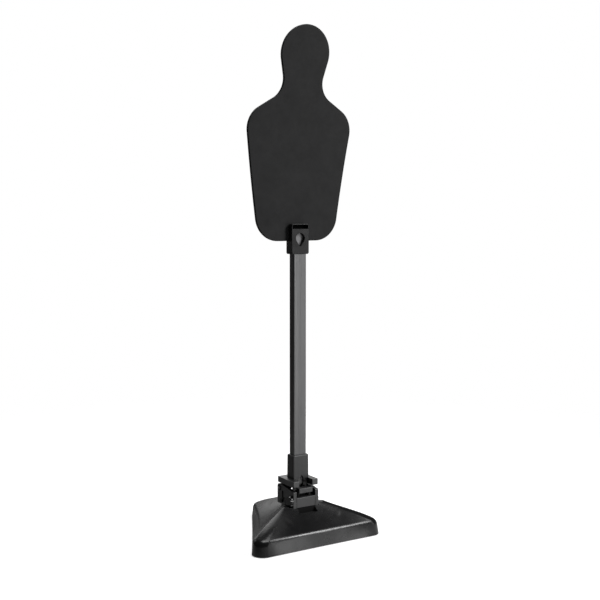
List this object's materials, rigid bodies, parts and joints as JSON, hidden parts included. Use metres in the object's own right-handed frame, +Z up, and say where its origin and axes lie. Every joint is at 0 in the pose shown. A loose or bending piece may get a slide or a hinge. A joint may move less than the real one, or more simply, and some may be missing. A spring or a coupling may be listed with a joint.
{
  "type": "body opponent mannequin",
  "caption": "Free-standing striking target: a flat bowed head-and-torso panel clipped to a rectangular post, on a sprung tilting hinge block and a weighted triangular base.",
  "frame": {"origin": "centre of the footprint's box on the floor", "axes": "+Z up along the post; -Y is the front, where the panel faces; X runs across the panel"},
  "size_m": [0.4824, 0.4275, 1.687],
  "materials": {
    "moulded_black": "semi-gloss moulded",
    "cast_ballast": "rough cast",
    "rubber": "matt",
    "zinc": "zinc plated",
    "cast_black": "satin black powder coat",
    "core_grey": "satin dark grey powder coat",
    "black_fastener": "black oxide",
    "axle_steel": "ground steel",
    "nylon": "dark nylon",
    "spring_steel": "oiled spring steel",
    "knob_black": "glossy moulded",
    "fork_black": "satin black powder coat",
    "socket_black": "satin black powder coat",
    "post_coat": "satin dark grey coated tube",
    "head_insert": "black plastic",
    "button_grey": "grey plastic",
    "clip_black": "textured black plastic",
    "panel_black": "matt black sheet"
  },
  "bodies": {
    "base": {"base_shell": "moulded_black", "base_floor": "moulded_black", "ballast_plate": "cast_ballast", "foot_front_left": "rubber", "foot_front_right": "rubber", "foot_rear": "rubber", "foot_screws": "zinc", "left_cheek": "cast_black", "right_cheek": "cast_black", "block_core": "core_grey", "cheek_bolts": "black_fastener", "cheek_nuts": "black_fastener", "base_bolts": "black_fastener", "base_nuts": "zinc", "tilt_axle": "axle_steel", "axle_clips": "black_fastener", "spring_spacer": "nylon", "return_spring_left": "spring_steel", "return_spring_right": "spring_steel"},
    "tension": {"tension_shaft": "axle_steel", "tension_knob": "knob_black", "shaft_collar": "black_fastener"},
    "rocker": {"fork_plate": "fork_black", "axle_bush_left": "nylon", "axle_bush_right": "nylon", "post_socket": "socket_black", "socket_bolts": "black_fastener"},
    "post": {"post_tube": "post_coat", "post_foot": "nylon", "post_head": "head_insert", "button_spring": "spring_steel"},
    "button": {"release_button": "button_grey"},
    "head": {"clip_front": "clip_black", "clip_back": "clip_black", "clip_screws": "zinc", "silhouette_panel": "panel_black"}
  },
  "joints": [
    {"name": "post_tilt", "type": "hinge", "parent": "base", "child": "rocker", "pos_m": [0, -0.02125, 0.158], "axis": [1, 0, 0], "range_deg": [-15, 7], "stiffness_Nm_per_rad": 260, "deforming": ["return_spring_left", "return_spring_right"]},
    {"name": "tension_turn", "type": "hinge", "parent": "base", "child": "tension", "pos_m": [0, -0.09825, 0.1285], "axis": [1, 0, 0], "continuous": true},
    {"name": "post_lift", "type": "slide", "parent": "rocker", "child": "post", "axis": [0, 0, 1], "range_m": [0, 0.078]},
    {"name": "button_press", "type": "slide", "parent": "post", "child": "button", "axis": [0, 1, 0], "range_m": [0, 0.002], "stiffness_N_per_m": 900, "deforming": ["button_spring"]},
    {"name": "head_lift", "type": "slide", "parent": "post", "child": "head", "axis": [0, 0, 1], "range_m": [0, 0.085]}
  ]
}
